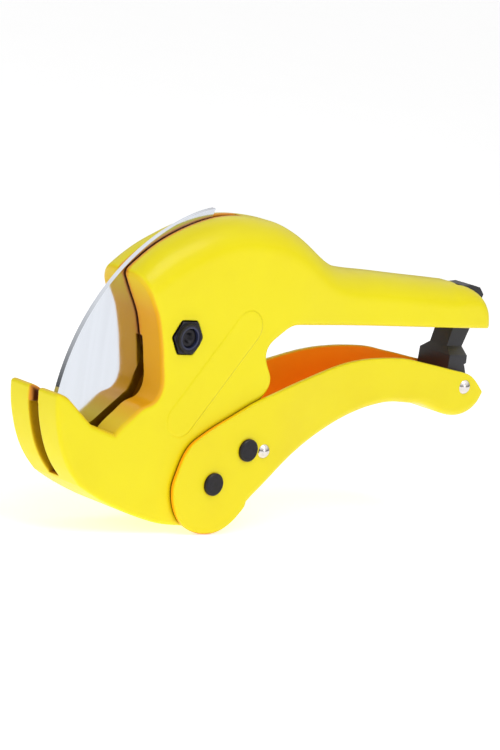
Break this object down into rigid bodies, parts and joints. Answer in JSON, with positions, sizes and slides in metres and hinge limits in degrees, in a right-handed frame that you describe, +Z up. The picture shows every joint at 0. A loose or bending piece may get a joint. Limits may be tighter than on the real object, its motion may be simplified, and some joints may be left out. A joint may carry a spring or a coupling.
{
  "type": "plastic pipe cutter",
  "caption": "One-handed ratchet cutter for plastic pipe: yellow cast body with hooked jaw, swinging mirror blade, pressed lower handle and black closing latch.",
  "frame": {"origin": "blade pivot axis at the middle of the body's thickness", "axes": "+X towards the grip end, +Y across the thickness away from the lock nut, +Z up from the lower handle to the grip"},
  "size_m": [0.2342, 0.0413, 0.1302],
  "materials": {
    "yellow_cast": "gloss powder coat on cast alloy",
    "yellow_sheet": "gloss powder coat on pressed steel",
    "polished_blade": "mirror polished",
    "bronze": "satin sintered bronze",
    "zinc": "zinc plated",
    "black_steel": "black oxide, satin",
    "nylon_blue": "satin nylon",
    "spring_steel": "drawn wire",
    "bright_rivet": "bright plated",
    "hardened_steel": "hardened, oiled",
    "black_plastic": "fine textured moulding"
  },
  "bodies": {
    "frame": {"body": "yellow_cast", "pivot_bolt": "black_steel", "lock_nut": "black_steel", "nut_insert": "nylon_blue", "blade_bush": "bronze", "handle_bushes": "bronze", "hold_pawl_pin": "hardened_steel", "hold_pawl_spring": "spring_steel"},
    "blade": {"blade": "polished_blade", "thrust_washers": "zinc", "blade_return_spring": "spring_steel"},
    "handle": {"lower_handle": "yellow_sheet", "handle_pivot_pin": "black_steel", "pawl_pin": "black_steel", "retaining_clips": "spring_steel", "pawl_spacers": "zinc", "drive_pawl_spring": "spring_steel", "spring_anchor_rivet": "bright_rivet", "handle_spring": "spring_steel", "latch_rivet": "bright_rivet"},
    "drive_pawl": {"drive_pawl": "hardened_steel"},
    "hold_pawl": {"hold_pawl": "hardened_steel"},
    "latch": {"latch": "black_plastic"}
  },
  "joints": [
    {"name": "blade_pivot", "type": "hinge", "parent": "frame", "child": "blade", "pos_m": [0, 0, 0], "axis": [0, 1, 0], "range_deg": [0, 84]},
    {"name": "handle_pivot", "type": "hinge", "parent": "frame", "child": "handle", "pos_m": [0.023, 0, -0.0593], "axis": [0, 1, 0], "range_deg": [0, 25]},
    {"name": "drive_pawl_pivot", "type": "hinge", "parent": "handle", "child": "drive_pawl", "pos_m": [0.0387, 0, -0.0453], "axis": [0, 1, 0], "range_deg": [-40, 0]},
    {"name": "hold_pawl_pivot", "type": "hinge", "parent": "frame", "child": "hold_pawl", "pos_m": [0.012, 0, -0.046], "axis": [0, 1, 0], "range_deg": [-6, 4]},
    {"name": "latch_pivot", "type": "hinge", "parent": "handle", "child": "latch", "pos_m": [0.1608, 0, -0.0193], "axis": [0, 1, 0], "range_deg": [-3.8, 88]}
  ],
  "couplings": [
    {"joint": "drive_pawl_pivot", "follows": "handle_pivot", "ratio": -1.6}
  ]
}
